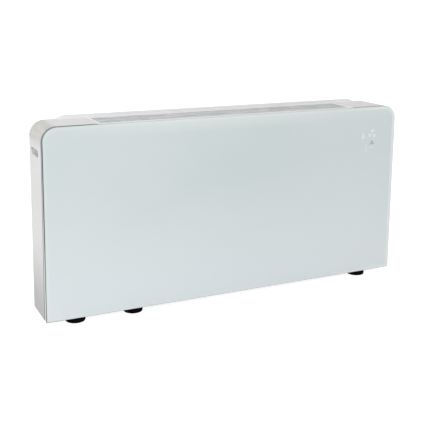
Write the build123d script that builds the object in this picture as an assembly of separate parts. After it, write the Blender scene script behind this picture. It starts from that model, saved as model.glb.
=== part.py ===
from build123d import *
import os
from math import sin, cos, pi, radians, atan2, sqrt

# Slim floor-standing hydronic fan convector with a toughened-glass front.
# Millimetres. +X runs along the width, -Y is the glass front, +Z is up.
# The origin is on the floor, under the centre of the casing's plan.

# ---------------------------------------------------------------- driving dimensions
width = 1103.0            # overall width
depth = 132.0             # glass face to rear edge
foot_gap = 17.5           # floor to underside of casing
panel_h = 519.0           # height of glass and side caps
corner_r = 40.0           # rounded upper corners
rail_rise = 9.0           # rear top rail above the caps
glass_t = 4.0
tape_t = 2.0
sheet_t = 1.5             # chassis steel
cap_wall = 2.5            # moulded side cap wall
seal_t = 3.0              # black edge seal in front of each cap
grille_half = 399.5
cap_inner_x = 401.0       # inner end of each cap's top wall
foot_r = 27.0
foot_x = (-464.5, -299.5, 450.5)
front_foot_y = -33.0
rear_foot_y = 35.0
tube_r = 4.76             # coil tube outside radius
fan_r = 35.0              # tangential impeller
fan_y, fan_z = 6.0, 150.0
shaft_r = 4.0
wall_hole_x, wall_hole_z = 470.0, (100.0, 500.0)
pipe_x = -428.0
flow_y, return_y = -29.5, 45.5
pipe_bore_r = 7.6         # for 15 mm copper pipe
gland_x, gland_z, gland_bore_r = 520.0, 72.0, 5.0

hx = width / 2
yf, yb = -depth / 2, depth / 2
z0 = foot_gap
z1 = foot_gap + panel_h
# raked parting plane between the front panel and the caps, at bottom and top
rake_bot, rake_top = yf + 18.4, yf + 7.6

os.makedirs("parts", exist_ok=True)


# ---------------------------------------------------------------- helpers
def bx(x0, x1, y0, y1, z0_, z1_):
    return Pos((x0 + x1) / 2, (y0 + y1) / 2, (z0_ + z1_) / 2) * Box(
        abs(x1 - x0), abs(y1 - y0), abs(z1_ - z0_))


def cylx(x0, x1, y, z, r):
    return Pos((x0 + x1) / 2, y, z) * Rot(0, 90, 0) * Cylinder(r, abs(x1 - x0))


def cyly(x, y0, y1, z, r):
    return Pos(x, (y0 + y1) / 2, z) * Rot(90, 0, 0) * Cylinder(r, abs(y1 - y0))


def cylz(x, y, za, zb, r):
    return Pos(x, y, (za + zb) / 2) * Cylinder(r, abs(zb - za))


def hexz(x, y, za, zb, af):
    return Pos(x, y, za) * extrude(RegularPolygon(af / 2, 6, major_radius=False), zb - za)


def front_outline(inset, top_r, half=None, zlo=None, zhi=None):
    """Face in the XZ plane: rectangle with rounded upper corners."""
    h = (half if half is not None else hx) - inset
    lo = (zlo if zlo is not None else z0) + inset
    hi = (zhi if zhi is not None else z1) - inset
    r = max(top_r - inset, 1.0)
    edges = [
        Line((-h, lo), (h, lo)),
        Line((h, lo), (h, hi - r)),
        RadiusArc((h, hi - r), (h - r, hi), -r),
        Line((h - r, hi), (-h + r, hi)),
        RadiusArc((-h + r, hi), (-h, hi - r), -r),
        Line((-h, hi - r), (-h, lo)),
    ]
    return make_face(Wire(edges))


def slab(face_xz, y0, y1):
    """Extrude an XZ face (drawn in XY) from y0 to y1 along +Y."""
    pl = Plane(origin=(0, y0, 0), x_dir=(1, 0, 0), z_dir=(0, -1, 0))
    return extrude(pl * face_xz, -(y1 - y0))


def behind_rake(offset, far=400.0):
    """Half space behind the raked parting plane moved back by offset."""
    za, zb = -200.0, 900.0
    k = (rake_top - rake_bot) / (z1 - z0)

    def y_at(z):
        return rake_bot + k * (z - z0) + offset
    prof = make_face(Wire([
        Line((y_at(za), za), (far, za)), Line((far, za), (far, zb)),
        Line((far, zb), (y_at(zb), zb)), Line((y_at(zb), zb), (y_at(za), za))]))
    return Pos(-700, 0, 0) * extrude(Plane.YZ * prof, 1400)


def as_compound(solids):
    flat = []
    for s in solids:
        flat += list(s.solids())
    return flat[0] if len(flat) == 1 else Compound(children=flat)


def save(name, shape):
    shape = shape if isinstance(shape, (list, tuple)) else [shape]
    c = as_compound(shape)
    c.label = name
    export_step(c, f"parts/{name}.step")


def poly_x(points, x0, x1):
    """Extrude a closed YZ polygon from x0 to x1."""
    w = Wire([Line(points[i], points[(i + 1) % len(points)]) for i in range(len(points))])
    return Pos(x0, 0, 0) * extrude(Plane.YZ * make_face(w), x1 - x0)


def ribbon(points, t):
    """Closed polygon of a sheet of thickness t along a YZ polyline."""
    n = len(points)
    left, right = [], []
    for i, p in enumerate(points):
        a = points[max(i - 1, 0)]
        b = points[min(i + 1, n - 1)]
        dx, dy = b[0] - a[0], b[1] - a[1]
        m = sqrt(dx * dx + dy * dy)
        nx, ny = -dy / m, dx / m
        left.append((p[0] + nx * t / 2, p[1] + ny * t / 2))
        right.append((p[0] - nx * t / 2, p[1] - ny * t / 2))
    return left + right[::-1]


# ================================================================= FRONT PANEL
# toughened glass, polished arrised edges
glass = slab(front_outline(0, corner_r), yf, yf + glass_t)
glass = chamfer(glass.faces().sort_by(Axis.Y)[0].edges(), 0.6)
glass = chamfer(glass.faces().sort_by(Axis.Y)[-1].edges(), 0.4)
save("front_glass", glass)

# black acrylic foam tape round the perimeter of the glass
y_tape = yf + glass_t
tape = slab(front_outline(0.8, corner_r), y_tape, y_tape + tape_t) - slab(
    front_outline(15.0, corner_r), y_tape - 1, y_tape + tape_t + 1)
save("glass_bond_tape", tape)

# folded steel tray behind the glass, its side returns tapering to nothing at the top
y_tray = y_tape + tape_t
tray = slab(front_outline(0.5, corner_r), y_tray, y_tray + 25) - slab(
    front_outline(1.8, corner_r), y_tray + 1.0, y_tray + 30)
tray = tray - behind_rake(0.0)
tray = tray - bx(436, 486, y_tray - 1, y_tray + 2, 395, 470)      # touch window
save("panel_tray", tray)

y_in = y_tray + 1.0       # inner face of the tray sheet
pad = bx(-362, 362, y_in, y_in + 6, 60, 480)
save("panel_insulation", fillet(pad.edges().filter_by(Axis.Y), 8))

# hanger channels with keyholes, spot-welded behind the tray
stud_z = (130.0, 398.0)
hangers = []
for sx in (-386.5, 386.5):
    ch = bx(sx - 13, sx + 13, y_in, y_in + 10, 90, 478)
    ch -= bx(sx - 11.5, sx + 11.5, y_in - 1, y_in + 8.5, 80, 490)
    for sz in stud_z:
        ch -= cyly(sx, y_in + 8, y_in + 11, sz, 2.75)
        ch -= bx(sx - 2.75, sx + 2.75, y_in + 8, y_in + 11, sz - 16, sz)
        ch -= cyly(sx, y_in + 8, y_in + 11, sz - 16, 7.0)
    hangers.append(ch)
save("panel_hangers", hangers)

# touch electronics behind the glass, seen through the tray's window
mod = bx(430, 492, y_in, y_in + 7, 388, 477)
mod = fillet(mod.edges().filter_by(Axis.Y), 3)
mod += bx(437, 485, y_tray - 0.0, y_in, 396, 469)
mod += bx(448, 474, y_in + 7, y_in + 11, 392, 404)
save("touch_module", mod)

# ================================================================= SIDE CAPS
grip_y0, grip_y1 = yf + 40.0, yf + 114.0     # hand-hold opening in the side wall
grip_z0, grip_z1 = z0 + 433.5, z0 + 453.0
grip_r = 7.0
back_t = sheet_t
y_plate0 = 63.0                               # inner face of the back plate
lip_t = 2.5


def grip_prism(x0, x1, grow):
    f = Pos((grip_y0 + grip_y1) / 2, (grip_z0 + grip_z1) / 2) * RectangleRounded(
        grip_y1 - grip_y0 + 2 * grow, grip_z1 - grip_z0 + 2 * grow, grip_r + grow)
    return Pos(x0, 0, 0) * extrude(Plane.YZ * f, x1 - x0)


def make_cap(s):
    """s = -1 for the left cap, +1 for the right cap; built on the left and mirrored."""
    outer = slab(front_outline(0, corner_r), yf, yb)
    inner = slab(front_outline(cap_wall, corner_r, zlo=z0 - 40), yf - 5, yb + 5)
    cap = outer - inner
    cap = cap & bx(-hx - 1, -cap_inner_x, yf - 1, yb + 1, z0 - 1, z1 + 1)
    # inner end of the top wall turned down, with a ledge that carries the grille
    cap += bx(-cap_inner_x - 2.5, -cap_inner_x, yf + 1, 50.5, z1 - 12.7, z1 - 1.0)
    # rear lip that takes the back plate screws
    lip = (slab(front_outline(cap_wall - 0.5, corner_r, zlo=z0 - 40), y_plate0 - lip_t, y_plate0)
           - slab(front_outline(cap_wall + 12, corner_r, zlo=z0 - 60), y_plate0 - 9, y_plate0 + 9))
    lip = lip & bx(-hx, -cap_inner_x - 6, 0, yb, z0 + 26, z1)
    cap += lip
    # stiffening ribs inside the side wall
    for zr in (150.0, 290.0):
        cap += bx(-hx + 1, -hx + 9, -30, 55, zr, zr + 2)
    cap -= grip_prism(-hx - 1, -hx + cap_wall + 6, 0.0)
    cap = cap & behind_rake(0.6 + seal_t)
    for zc in cap_screw_z:
        cap -= cyly(-hx + 8.5, y_plate0 - 6, y_plate0 + 1, zc, 2.05)
    for xc in cap_screw_x:
        cap -= cyly(-xc, y_plate0 - 6, y_plate0 + 1, z1 - 8.5, 2.05)
    # soften the rear outer corner line
    return cap if s < 0 else mirror(cap, Plane.YZ)


cap_screw_z = (70.0, 260.0, 450.0)
cap_screw_x = (490.0, 425.0)
left_cap = make_cap(-1)
save("left_side_cap", left_cap)
save("right_side_cap", make_cap(1))


def make_seal(s):
    seal = (slab(front_outline(0.3, corner_r), yf, yb)
            - slab(front_outline(cap_wall - 0.3, corner_r, zlo=z0 - 40), yf - 5, yb + 5))
    seal = seal & bx(-hx - 1, -cap_inner_x - 0.3, yf - 1, yb + 1, z0 + 0.3, z1 + 1)
    seal = (seal & behind_rake(0.6)) - behind_rake(0.6 + seal_t)
    return seal if s < 0 else mirror(seal, Plane.YZ)


save("cap_edge_seals", [make_seal(-1), make_seal(1)])


def make_cup(s):
    """Finger-grip cup snapped into the cap's side opening from inside."""
    dcup = 17.0
    cup = grip_prism(-hx + 0.4, -hx + dcup, -0.15)
    cup = fillet(cup.faces().sort_by(Axis.X)[-1].edges(), 3.0)
    cav = grip_prism(-hx - 2, -hx + dcup - 2.0, -2.0)
    cav = fillet(cav.faces().sort_by(Axis.X)[-1].edges(), 2.0)
    fl = grip_prism(-hx + cap_wall + 0.1, -hx + cap_wall + 1.9, 5.0)
    cup = (cup + fl) - cav
    return cup if s < 0 else mirror(cup, Plane.YZ)


save("left_grip_cup", make_cup(-1))
save("right_grip_cup", make_cup(1))

# ================================================================= CHASSIS
# back plate: galvanised sheet with swaged ribs, wall-fixing holes, gland hole
plate = slab(front_outline(cap_wall + 0.4, corner_r, zlo=z0 - 2.0), y_plate0, y_plate0 + back_t)
plate -= bx(-cap_inner_x - 60, cap_inner_x + 60, 50, 70, z1 - 2.6, z1 + 2)
for sx in (-1, 1):
    for zz in wall_hole_z:
        plate -= cyly(sx * wall_hole_x, 60, 70, zz, 4.5)
        boss = cyly(sx * wall_hole_x, y_plate0 + back_t, y_plate0 + back_t + 0.9, zz, 13.0)
        plate += boss - cyly(sx * wall_hole_x, 60, 70, zz, 8.0)
    for zc in cap_screw_z:
        plate -= cyly(sx * (hx - 8.5), 60, 70, zc, 2.25)
    for xc in cap_screw_x:
        plate -= cyly(sx * xc, 60, 70, z1 - 8.5, 2.25)
chassis_screw_z = (70.0, 290.0, 505.0)
for sx in (-1, 1):
    for zc in chassis_screw_z:
        plate -= cyly(sx * 388.0, 60, 70, zc, 2.25)
base_screw_x = (-500.0, -250.0, 0.0, 250.0, 500.0)
for xc in base_screw_x:
    plate -= cyly(xc, 60, 70, 32.0, 2.25)
plate -= cyly(gland_x, 60, 70, gland_z, 8.1)
# swaged stiffening ribs standing 1 mm out of the sheet
for zr in (150.0, 250.0, 350.0, 450.0):
    rib = Pos(0, zr) * SlotOverall(640, 14)
    plate += slab(rib, y_plate0 + back_t - 0.1, y_plate0 + back_t + 1.0)
for sx in (-1, 1):
    rib = Pos(sx * 435, 290) * Rot(0, 0, 90) * SlotOverall(300, 12)
    plate += slab(rib, y_plate0 + back_t - 0.1, y_plate0 + back_t + 1.0)
# top flange that carries the rear rail
plate += bx(-398, 398, 52.0, y_plate0 + back_t, z1 - 4.1, z1 - 2.6)
save("back_plate", plate)

# extruded rear top rail: stands above the caps and stops warm air scouring the wall
rail_hx, rail_slope = 479.0, 17.0
rail = slab(make_face(Polyline((-rail_hx, z1), (-rail_hx, z1 + 1.8), (-rail_hx + rail_slope, z1 + rail_rise),
                               (rail_hx - rail_slope, z1 + rail_rise), (rail_hx, z1 + 1.8), (rail_hx, z1), close=True)), 51.0, yb)
rail = fillet(rail.edges().filter_by(Axis.Y).group_by(Axis.Z)[-1], 16.0)
rail = fillet(rail.edges().filter_by(Axis.X).group_by(Axis.Z)[-1], 1.5)
rail += bx(-397.5, 397.5, 53.0, 62.0, z1 - 2.6, z1 + 0.5)
save("rear_top_rail", rail)

# base tray with inlet opening, pipe cut-outs and upturned flanges
inlet_x0, inlet_x1, inlet_y0, inlet_y1 = -246.0, 382.0, -26.0, 38.0
zt0, zt1 = z0 + 1.5, z0 + 3.0
base_ = bx(-hx + 3.1, hx - 3.1, -43.5, y_plate0, zt0, zt1)
base_ += bx(-hx + 3.1, hx - 3.1, -43.5, -42.0, zt0, zt0 + 21)
base_ += bx(-hx + 3.1, hx - 3.1, y_plate0 - 1.5, y_plate0, zt0, zt0 + 21)
for sx in (-1, 1):
    base_ += bx(sx * (hx - 3.1), sx * (hx - 4.6), -43.5, y_plate0, zt0, zt0 + 21)
base_ -= bx(inlet_x0, inlet_x1, inlet_y0, inlet_y1, 0, 30)
# two webs across the inlet
for xw in (-42.0, 170.0):
    base_ += bx(xw, xw + 6, inlet_y0 - 1, inlet_y1 + 1, zt0, zt1)
base_ -= bx(pipe_x - 14, pipe_x + 14, -41.0, 58.0, 0, 30)     # pipe entry
for xc in foot_x:
    for yc in (front_foot_y, rear_foot_y):
        base_ -= cylz(xc, yc, 0, 30, 2.6)
for xc in base_screw_x:
    base_ -= cyly(xc, 55, 70, 32.0, 2.05)
save("base_tray", base_)


def make_bulkhead(s):
    """Vertical partition at one end of the fan and coil section."""
    xa, xb = -401.5, -400.0
    b = bx(xa, xb, -43.3 + 1.5, y_plate0 - 1.7, zt1 + 0.2, 41.0)
    b += bx(xa, xb, -46.0, y_plate0, 41.0, 520.0)
    b += bx(xb - 0.1, -374.0, -46.0, -44.5, 41.0, 520.0)
    b += bx(xb - 0.1, -376.0, y_plate0 - 1.5, y_plate0, 41.0, 520.0)
    b += bx(xa, -388.0, -40.0, 50.0, 521.7, 523.2) + bx(xa, xb, -40.0, 50.0, 519.0, 523.0)
    b -= cylx(-410, -390, fan_y, fan_z, 30.0)                  # shaft opening
    if s < 0:
        b -= bx(-410, -390, flow_y - 9, return_y + 9, 427, 474)  # tube window
    else:
        b -= cylx(-410, -390, 30, 230, 9.0)                   # cable pass
    for zc in chassis_screw_z:
        b -= cyly(-388.0, 55, 70, zc, 2.05)
    for sz in stud_z:
        b -= cyly(-386.5, -50, -40, sz, 2.55)
    return b if s < 0 else mirror(b, Plane.YZ)


left_bulkhead = make_bulkhead(-1)
save("left_bulkhead", left_bulkhead)
save("right_bulkhead", make_bulkhead(1))

# shouldered studs on the bulkhead flanges that the panel hangs from
studs = []
for sx in (-386.5, 386.5):
    for sz in stud_z:
        st = cyly(sx, -46.0, -51.0, sz, 2.5) + cyly(sx, -51.0, -53.6, sz, 5.8)
        st += cyly(sx, -46.0, -48.6, sz, 4.6)
        st += cyly(sx, -40.5, -46.5, sz, 2.5) + cyly(sx, -44.5, -41.5, sz, 4.6)
        studs.append(st)
save("hanger_studs", studs)

# baffle that closes the front of the air duct
baffle = bx(-372.5, 372.5, -44.3, -43.1, 190, 519)
baffle += bx(-372.5, 372.5, -44.3, -36.0, 190, 191.2)
save("front_baffle", baffle)

# front top rail under the grille's front edge
ftr = bx(-399.5, 399.5, -57.3, -46.2, z1 - 15.5, z1 - 13.2)
ftr += bx(-399.5, 399.5, -47.7, -46.2, z1 - 40, z1 - 13.5)
save("front_top_rail", ftr)

# ================================================================= OUTLET GRILLE
g_y0, g_y1 = yf + 8.5, 50.5
g_top = z1 + 1.0
rim_f, rim_r, rim_e = 6.0, 5.5, 7.5      # front, rear and end rims of the frame
bar_w, bar_pitch, n_bars = 3.0, 8.0, 12
ox = grille_half - rim_e
oy0, oy1 = g_y0 + rim_f, g_y1 - rim_r
g_frame = bx(-grille_half, grille_half, g_y0, g_y1, g_top - 1.5, g_top)
g_frame = g_frame - bx(-ox, ox, oy0, oy1, g_top - 3, g_top + 1)
g_frame = chamfer(g_frame.faces().sort_by(Axis.Z)[-1].edges(), 0.5)
g_skirt = bx(-grille_half, grille_half, g_y0, g_y1, g_top - 14.0, g_top - 1.4) - bx(
    -grille_half + 1.5, grille_half - 1.5, g_y0 + 1.5, g_y1 - 1.5, g_top - 20, g_top)
g_inner = bx(-ox - 1.2, ox + 1.2, oy0 - 1.2, oy1 + 1.2, g_top - 12.0, g_top - 1.4) - bx(
    -ox, ox, oy0, oy1, g_top - 20, g_top)
g_frame = g_frame + g_skirt + g_inner
save("grille_frame", g_frame)

# core of long bars on cross rods, dropped into the frame
bars = []
span = bar_pitch * (n_bars - 1)
bar_y0 = (oy0 + oy1) / 2 - span / 2
for i in range(n_bars):
    yc = bar_y0 + i * bar_pitch
    b_ = bx(-ox + 0.2, ox - 0.2, yc - bar_w / 2, yc + bar_w / 2, g_top - 10.5, g_top - 0.8)
    b_ = fillet(b_.edges().filter_by(Axis.X).group_by(Axis.Z)[-1], 0.8)
    bars.append(b_)
rods = []
n_rods = 9
for i in range(n_rods):
    xr = -ox + 24 + i * (2 * ox - 48) / (n_rods - 1)
    rods.append(cyly(xr, oy0 + 0.2, oy1 - 0.2, g_top - 7.0, 2.2))
core = bars[0].fuse(*(bars[1:] + rods))
save("grille_bars", core)

# ================================================================= FILTER
f_z0, f_z1 = 10.6, 16.4
f_x0, f_x1, f_y0, f_y1 = -256.0, 392.0, -39.0, 47.0
ff = bx(f_x0, f_x1, f_y0, f_y1, f_z0, f_z1)
n_bay = 6
bay = (f_x1 - f_x0 - 8.0) / n_bay
for i in range(n_bay):
    xa = f_x0 + 4 + i * bay
    ff -= bx(xa + 2, xa + bay - 2, f_y0 + 7, f_y1 - 7, 0, 30)
ff -= bx(f_x0 + 5, f_x1 - 5, f_y0 + 5, f_y1 - 5, f_z0 + 2.4, f_z0 + 3.6)
tab = bx(35, 95, f_y0 - 7, f_y0 + 1, f_z0 + 0.6, f_z0 + 3.6)
tab = fillet(tab.edges().filter_by(Axis.Z).group_by(Axis.Y)[0], 3.0)
ff += tab
save("filter_frame", ff)
save("filter_mesh", bx(f_x0 + 5.2, f_x1 - 5.2, f_y0 + 5.2, f_y1 - 5.2, f_z0 + 2.6, f_z0 + 3.4))

rails = []
for s, xe in ((-1, f_x0), (1, f_x1)):
    xo = xe + s * 4.5
    r_ = bx(xo, xo + s * -1.2, -42, 50, 8.4, zt0)
    r_ += bx(xo, xe - s * 6.0, -42, 50, 8.4, 9.6)
    r_ += bx(xo, xo + s * 9.0, -42, 50, zt0 - 1.2, zt0)
    rails.append(r_)
save("filter_rails", rails)

# ================================================================= FEET
def make_foot(xc, yc):
    f = cylz(xc, yc, 0, z0 - 0.2, foot_r)
    f = fillet(f.edges().sort_by(Axis.Z)[0], 3.0)
    f += cylz(xc, yc, z0 - 0.3, zt0, 9.0)
    f -= cylz(xc, yc, -1, 9.0, 8.0)
    f -= cylz(xc, yc, -1, 30.0, 2.6)
    return f


save("rubber_feet", [make_foot(xc, yc) for xc in foot_x for yc in (front_foot_y, rear_foot_y)])
fs = []
for xc in foot_x:
    for yc in (front_foot_y, rear_foot_y):
        s_ = cylz(xc, yc, 5.6, 9.0, 5.0) + cylz(xc, yc, 9.0, 27.0, 2.5)
        s_ += cylz(xc, yc, zt1, zt1 + 4.0, 5.0)
        s_ -= bx(xc - 4, xc + 4, yc - 0.6, yc + 0.6, 5, 6.8)
        fs.append(s_)
save("foot_screws", fs)

# ================================================================= COIL
fin_y0, fin_y1, fin_z0, fin_z1 = -42.0, 58.0, 428.5, 472.5
rows_z = (439.5, 461.5)
cols_y = (flow_y, flow_y + 25, flow_y + 50, return_y)
fin = bx(-0.3, 0.3, fin_y0, fin_y1, fin_z0, fin_z1)
for rz in rows_z:
    for cy_ in cols_y:
        fin -= cylx(-2, 2, cy_, rz, tube_r + 0.03)
fin = fin.solids()[0]
fin_pitch = 9.0
fins = []
xx = -392.0
while xx <= 370.0:
    fins.append(Pos(xx, 0, 0) * fin)
    xx += fin_pitch
save("coil_fins", fins)
ends = []
for xe in (-398.6, 373.0):
    e_ = bx(xe, xe + 1.5, fin_y0 - 0.5, fin_y1 + 0.5, fin_z0 - 8, fin_z1 + 8)
    e_ += bx(xe, xe + 12, fin_y0 - 0.5, fin_y1 + 0.5, fin_z0 - 9, fin_z0 - 7.8)
    for rz in rows_z:
        for cy_ in cols_y:
            e_ -= cylx(xe - 2, xe + 4, cy_, rz, tube_r + 0.05)
    ends.append(e_)
save("coil_end_plates", ends)

x_l, x_r = -402.0, 378.0
circuits = []
for rz in rows_z:
    r_b = 12.5
    x_end = pipe_x + 10.2
    path = Wire([
        Line((x_end, cols_y[0], rz), (x_r, cols_y[0], rz)),
        ThreePointArc((x_r, cols_y[0], rz), (x_r + r_b, cols_y[0] + r_b, rz), (x_r, cols_y[1], rz)),
        Line((x_r, cols_y[1], rz), (x_l, cols_y[1], rz)),
        ThreePointArc((x_l, cols_y[1], rz), (x_l - r_b, cols_y[1] + r_b, rz), (x_l, cols_y[2], rz)),
        Line((x_l, cols_y[2], rz), (x_r, cols_y[2], rz)),
        ThreePointArc((x_r, cols_y[2], rz), (x_r + r_b, cols_y[2] + r_b, rz), (x_r, cols_y[3], rz)),
        Line((x_r, cols_y[3], rz), (x_end, cols_y[3], rz))])
    prof = Plane(origin=(x_end, cols_y[0], rz), x_dir=(0, 1, 0), z_dir=(1, 0, 0)) * (
        Circle(tube_r) - Circle(tube_r - 0.7))
    circuits.append(sweep(prof, path=path))
save("coil_tubes", circuits)


def make_header(yy, vent):
    h = cylz(pipe_x, yy, 424, 480, 11.0) - cylz(pipe_x, yy, 426.5, 477.5, 9.0)
    h -= cylz(pipe_x, yy, 420, 430, 6.6)
    h += cylz(pipe_x, yy, 414, 426.5, 9.4) - cylz(pipe_x, yy, 410, 430, 7.55)
    for rz in rows_z:
        h -= cylx(pipe_x + 5, pipe_x + 14, yy, rz, tube_r + 0.05)
    if vent:
        h -= cylz(pipe_x, yy, 470, 490, 2.5)
    return h


save("flow_header", make_header(flow_y, False))
save("return_header", make_header(return_y, True))
pipes = []
for yy in (flow_y, return_y):
    pipes.append(cylz(pipe_x, yy, 138.5, 424.0, 7.5) - cylz(pipe_x, yy, 100, 440, 6.6))
save("riser_pipes", pipes)


def valve_body(yy, ax):
    v = cylz(pipe_x, yy, 88, 132, 11.0)
    v += hexz(pipe_x, yy, 128, 140, 24)
    v += hexz(pipe_x, yy, 62, 74, 21)
    v += cylz(pipe_x, yy, 48, 90, 10.4)
    if ax == "y":
        v += cyly(pipe_x, yy - 13.2, yy, 110, 6.0)
        v -= cyly(pipe_x, yy - 14, yy - 4, 110, 2.53)
    else:
        v += cylx(pipe_x - 20, pipe_x, yy, 110, 7.0)
        v -= cylx(pipe_x - 21, pipe_x - 8, yy, 110, 2.53)
    v -= cylz(pipe_x, yy, 40, 78, pipe_bore_r)
    v -= cylz(pipe_x, yy, 78, 104, 5.5)
    v -= cylz(pipe_x, yy, 116, 142, 6.6)
    v -= cylz(pipe_x, yy, 138.4, 142, 7.55)
    return v


save("flow_valve_body", valve_body(flow_y, "y"))
save("return_valve_body", valve_body(return_y, "x"))
nuts = []
for yy in (flow_y, return_y):
    nuts.append(hexz(pipe_x, yy, 49, 60, 24.5) - cylz(pipe_x, yy, 40, 70, 10.45))
save("compression_nuts", nuts)
# quarter-turn lever on the flow valve
lv = cyly(pipe_x, flow_y - 13.4, flow_y - 17.0, 110, 6.5)
lv += bx(pipe_x - 4, pipe_x + 4, flow_y - 17.0, flow_y - 14.4, 95, 125)
lv += cyly(pipe_x, flow_y - 14.4, flow_y - 17.0, 95, 5) + cyly(pipe_x, flow_y - 14.4, flow_y - 17.0, 125, 5)
lv += cyly(pipe_x, flow_y - 5.0, flow_y - 14.0, 110, 2.5)
save("flow_valve_lever", lv)
# lockshield cap on the return valve
lc = cylx(pipe_x - 20.3, pipe_x - 36, return_y, 110, 9.0)
for k in range(12):
    a = radians(30 * k)
    lc -= cylx(pipe_x - 40, pipe_x - 24, return_y + 9.6 * cos(a), 110 + 9.6 * sin(a), 1.3)
lc += cylx(pipe_x - 20.5, pipe_x - 9, return_y, 110, 2.5)
save("return_valve_cap", lc)
# manual air vent
av = hexz(pipe_x, return_y, 480.0, 490, 12) + cylz(pipe_x, return_y, 490, 494, 4.6)
av += cylz(pipe_x, return_y, 474, 480.5, 2.45)
av -= cylz(pipe_x, return_y, 484, 500, 2.53)
save("air_vent_body", av)
avs = cylz(pipe_x, return_y, 485, 496, 2.5) + cylz(pipe_x, return_y, 494.2, 498, 4.0)
avs -= bx(pipe_x - 5, pipe_x + 5, return_y - 0.6, return_y + 0.6, 496.4, 500)
save("air_vent_screw", avs)
# strap-on water sensor
sen = cylz(pipe_x - 10.9, flow_y, 285, 315, 3.2)
clip = (cylz(pipe_x, flow_y, 294, 306, 9.2) - cylz(pipe_x, flow_y, 290, 310, 7.53))
clip -= cylz(pipe_x - 10.9, flow_y, 280, 320, 3.25)
clip -= bx(pipe_x + 4, pipe_x + 12, flow_y - 4, flow_y + 4, 290, 310)
save("water_sensor", sen)
save("sensor_clip", clip)

# ================================================================= FAN
imp_x0, imp_x1 = -385.0, 385.0
n_blade = 28
r_in, r_out = 27.5, fan_r
blades = []
for k in range(n_blade):
    a0 = 2 * pi * k / n_blade
    inner, outer = [], []
    for j in range(4):
        u = j / 3
        rr = r_in + (r_out - 0.4 - r_in) * u
        aa = a0 + 0.24 * u * u - 0.02 * u
        inner.append((rr * cos(aa), rr * sin(aa)))
        da = 0.9 / rr
        outer.append((rr * cos(aa + da), rr * sin(aa + da)))
    pts = [(fan_y + p[0], fan_z + p[1]) for p in inner + outer[::-1]]
    blades.append(poly_x(pts, imp_x0, imp_x1))
discs = []
n_disc = 7
for i in range(n_disc):
    xc = imp_x0 + (imp_x1 - imp_x0) * i / (n_disc - 1)
    xa = max(imp_x0, xc - 1.0)
    xb = min(imp_x1, xc + 1.0)
    if i in (0, n_disc - 1):
        d_ = cylx(xa if i else imp_x0, xb if i == 0 else imp_x1, fan_y, fan_z, r_out)
        d_ = d_ - cylx(imp_x0 - 5, imp_x1 + 5, fan_y, fan_z, shaft_r + 0.0)
    else:
        d_ = cylx(xa, xb, fan_y, fan_z, r_out) - cylx(xa - 1, xb + 1, fan_y, fan_z, 24.0)
    discs.append(d_)
impeller = discs[0].fuse(*(discs[1:] + blades))
save("fan_impeller", impeller)
# hubs and shafts
stub = cylx(-414.0, -374.0, fan_y, fan_z, shaft_r)
save("stub_shaft", stub)
hub_l = cylx(-384.0, -372.0, fan_y, fan_z, 11.0) - cylx(-390, -360, fan_y, fan_z, shaft_r)
hub_r = cylx(372.0, 384.0, fan_y, fan_z, 13.0) - cylx(360, 390, fan_y, fan_z, shaft_r)
save("impeller_hubs", [hub_l, hub_r])
bush = cylx(-413.0, -403.0, fan_y, fan_z, 8.0) - cylx(-420, -390, fan_y, fan_z, shaft_r + 0.03)
save("bearing_bush", bush)
bh = cylx(-412.0, -402.0, fan_y, fan_z, 13.0) - cylx(-420, -390, fan_y, fan_z, 8.0)
bh += (cylx(-403.5, -401.5, fan_y, fan_z, 38.0) - cylx(-420, -390, fan_y, fan_z, 12.0)
       - cylx(-420, -390, fan_y + 21, fan_z, 6) - cylx(-420, -390, fan_y - 21, fan_z, 6)
       - cylx(-420, -390, fan_y, fan_z + 21, 6) - cylx(-420, -390, fan_y, fan_z - 21, 6))
save("bearing_holder", bh)

# rear scroll: spiral round the back of the impeller, then straight up to the coil
sp = []
for d in range(-112, 21, 12):
    a = radians(d)
    rr = r_out + 2.2 + 11.5 * (d + 112) / 132.0
    sp.append((fan_y + rr * cos(a), fan_z + rr * sin(a)))
sp += [(fan_y + 49.5, fan_z + 45), (58.0, fan_z + 110), (58.6, 418.0)]
scroll = poly_x(ribbon(sp, 1.2), -397.0, 397.0)
save("fan_rear_scroll", scroll)
# front tongue: vortex wall between the inlet and the duct
tg = []
for d in (205, 190, 175, 160, 148):
    a = radians(d)
    rr = r_out + 3.0 + 0.10 * (205 - d)
    tg.append((fan_y + rr * cos(a), fan_z + rr * sin(a)))
tg += [(-41.8, 189.0)]
tongue = poly_x(ribbon(tg, 1.2), -397.0, 397.0)
save("fan_tongue", tongue)

# EC motor in the right-hand compartment
m0, m1 = 408.0, 462.0
mh = cylx(m0, m1, fan_y, fan_z, 37.0)
mh = fillet(mh.edges().filter_by(GeomType.CIRCLE).sort_by(Axis.X)[-1], 6.0)
mh -= cylx(m0 + 2.5, m1 - 2.5, fan_y, fan_z, 34.5)
mh -= cylx(m0 - 5, m1 + 5, fan_y, fan_z, shaft_r + 0.03)
mh += cylx(m0, m0 + 2.5, fan_y, fan_z, 44.0) - cylx(m0 - 5, m0 + 9, fan_y, fan_z, 36.0)
for k in range(3):
    a = radians(90 + 120 * k)
    mh -= cylx(m0 - 5, m0 + 9, fan_y + 40.3 * cos(a), fan_z + 40.3 * sin(a), 2.1)
save("motor_housing", mh)
ms = cylx(m0 + 14, m0 + 40, fan_y, fan_z, 34.5) - cylx(m0, m1, fan_y, fan_z, 24.0)
for k in range(9):
    a = radians(40 * k)
    ms -= cylx(m0, m1, fan_y + 29 * cos(a), fan_z + 29 * sin(a), 2.6)
save("motor_stator", ms)
mr = cylx(m0 + 13, m0 + 41, fan_y, fan_z, 23.3) - cylx(m0, m1, fan_y, fan_z, shaft_r)
save("motor_rotor", mr)
save("motor_shaft", cylx(372.0, m1 + 4.0, fan_y, fan_z, shaft_r))
mm = []
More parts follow.
